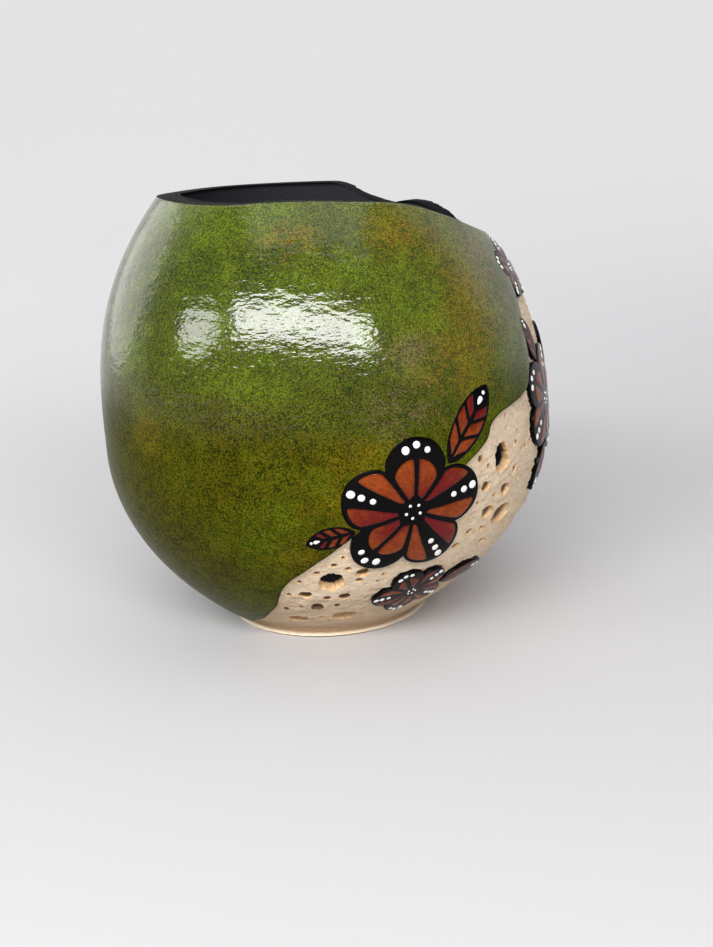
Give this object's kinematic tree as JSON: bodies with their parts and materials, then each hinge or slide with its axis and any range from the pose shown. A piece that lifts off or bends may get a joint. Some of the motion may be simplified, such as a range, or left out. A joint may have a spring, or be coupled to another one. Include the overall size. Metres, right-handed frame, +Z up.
{
  "type": "gourd bowl",
  "caption": "Round bowl made from a dried gourd, waved rim, green dyed skin, pale carved pitted ground with dyed blossoms and leaves, black inside",
  "frame": {"origin": "Centre of the flat base on the table plane", "axes": "+Z up, -Y is the side seen in the picture, +X is the viewer's right"},
  "size_m": [0.1996, 0.2, 0.1923],
  "materials": {
    "gourd": "green mottled leather dye under glossy lacquer; bare carved parts pale cream and matt",
    "inside_paint": "matt black paint",
    "blossom_dye": "burnt orange and red dye with black burnt lines, lacquered",
    "leaf_dye": "crimson dye with black burnt lines, lacquered"
  },
  "bodies": {
    "root": {"gourd_shell": "gourd", "interior_coat": "inside_paint", "blossom_front": "blossom_dye", "blossom_low": "blossom_dye", "blossom_side": "blossom_dye", "blossom_rim": "blossom_dye", "blossom_back": "blossom_dye", "blossom_back_rim": "blossom_dye", "blossom_far": "blossom_dye", "leaf_front_top": "leaf_dye", "leaf_front_left": "leaf_dye", "leaf_low_right": "leaf_dye", "leaf_side_top": "leaf_dye", "leaf_side_right": "leaf_dye", "leaf_side_low": "leaf_dye", "leaf_back_top": "leaf_dye", "leaf_back_right": "leaf_dye", "leaf_back_low_left": "leaf_dye", "leaf_back_low_right": "leaf_dye", "leaf_back_rim_left": "leaf_dye", "leaf_back_rim_right": "leaf_dye", "leaf_far_top": "leaf_dye", "leaf_far_low": "leaf_dye"}
  },
  "joints": []
}
